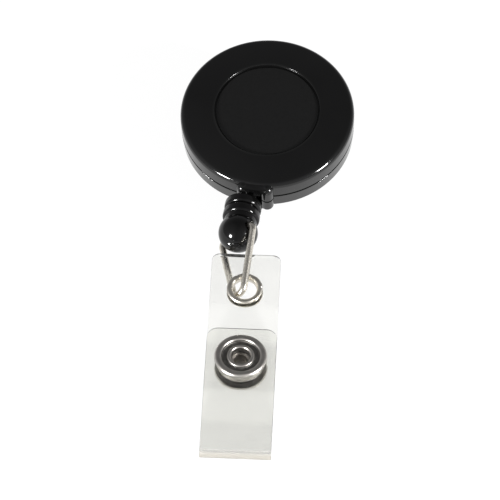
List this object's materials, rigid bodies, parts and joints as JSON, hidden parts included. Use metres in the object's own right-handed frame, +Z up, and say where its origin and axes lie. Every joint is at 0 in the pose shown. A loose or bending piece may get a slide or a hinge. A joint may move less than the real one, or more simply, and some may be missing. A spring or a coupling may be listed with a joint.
{
  "type": "retractable badge reel",
  "caption": "Round black retractable badge reel with a ribbed cord fitting, wire bail, clear vinyl snap strap and sprung belt clip.",
  "frame": {"origin": "on the floor, under the middle of the whole reel's box, as it lies on its belt clip with the strap stretched out", "axes": "+Z up from the floor; -Y is the way the cord pulls out of the case; +X is to the right seen from the strap's end"},
  "size_m": [0.032, 0.0882, 0.0137],
  "materials": {
    "glossy_black_abs": "high-gloss moulded ABS, satin label recess",
    "glossy_black_nylon": "glossy moulded nylon",
    "natural_acetal": "natural acetal",
    "blued_spring_steel": "rolled and blued strip",
    "black_nylon_cord": "braided nylon",
    "plated_clip_steel": "bright nickel plate over rolled strip",
    "nickel_wire": "nickel-plated drawn wire",
    "nickel_eyelet": "nickel-plated, rolled and set",
    "dark_nickel_snap": "dark nickel plate",
    "clear_vinyl": "clear flexible PVC sheet with fine scuffs"
  },
  "bodies": {
    "case": {"front_cover": "glossy_black_abs", "back_cover": "glossy_black_abs", "mainspring": "blued_spring_steel", "cord_feed": "black_nylon_cord", "clip_plate": "plated_clip_steel", "clip_rivet": "plated_clip_steel", "rivet_washer": "plated_clip_steel"},
    "spool": {"spool": "natural_acetal", "spool_lid": "natural_acetal", "cord_winding": "black_nylon_cord", "cord_drum_knot": "black_nylon_cord"},
    "cord_run": {"cord_end": "black_nylon_cord", "cord_end_knot": "black_nylon_cord"},
    "fitting": {"end_fitting": "glossy_black_nylon", "end_plug": "glossy_black_nylon"},
    "bail": {"wire_bail": "nickel_wire"},
    "strap": {"strap_back": "clear_vinyl", "eyelet": "nickel_eyelet", "snap_post": "dark_nickel_snap", "snap_stud": "dark_nickel_snap"},
    "flap": {"strap_flap": "clear_vinyl", "snap_ring": "dark_nickel_snap", "snap_socket": "dark_nickel_snap", "snap_spring": "blued_spring_steel"},
    "clip_tongue": {"clip_tongue": "plated_clip_steel"}
  },
  "joints": [
    {"name": "cord_pull", "type": "slide", "parent": "case", "child": "cord_run", "axis": [0, -1, 0], "range_m": [0, 0.6], "stiffness_N_per_m": 1.5},
    {"name": "spool_spin", "type": "hinge", "parent": "case", "child": "spool", "pos_m": [0, 0.02815, 0.00426], "axis": [0, -0.1599, 0.9871], "range_deg": [-2760, 0]},
    {"name": "fitting_twist", "type": "hinge", "parent": "cord_run", "child": "fitting", "pos_m": [-0.00185, 0.01021, 0.00452], "axis": [0, -1, 0], "continuous": true},
    {"name": "bail_swing", "type": "hinge", "parent": "fitting", "child": "bail", "pos_m": [-0.00185, 0.0032, 0.00452], "axis": [0.6428, 0, 0.766], "range_deg": [-85, 85]},
    {"name": "strap_swing", "type": "hinge", "parent": "bail", "child": "strap", "pos_m": [0.00042, -0.00912, 0.00297], "axis": [0.0086, -0.0867, 0.9962], "range_deg": [-10, 20]},
    {"name": "flap_open", "type": "hinge", "parent": "strap", "child": "flap", "pos_m": [0.00458, -0.04353, 0.00085], "axis": [0.9951, 0.0986, 0], "range_deg": [0, 170]},
    {"name": "clip_flex", "type": "hinge", "parent": "case", "child": "clip_tongue", "pos_m": [0, 0.04411, 0.00365], "axis": [1, 0, 0], "range_deg": [0, 12], "stiffness_Nm_per_rad": 0.8}
  ],
  "couplings": [
    {"joint": "spool_spin", "follows": "cord_pull", "rad_per_m": -79.681}
  ]
}
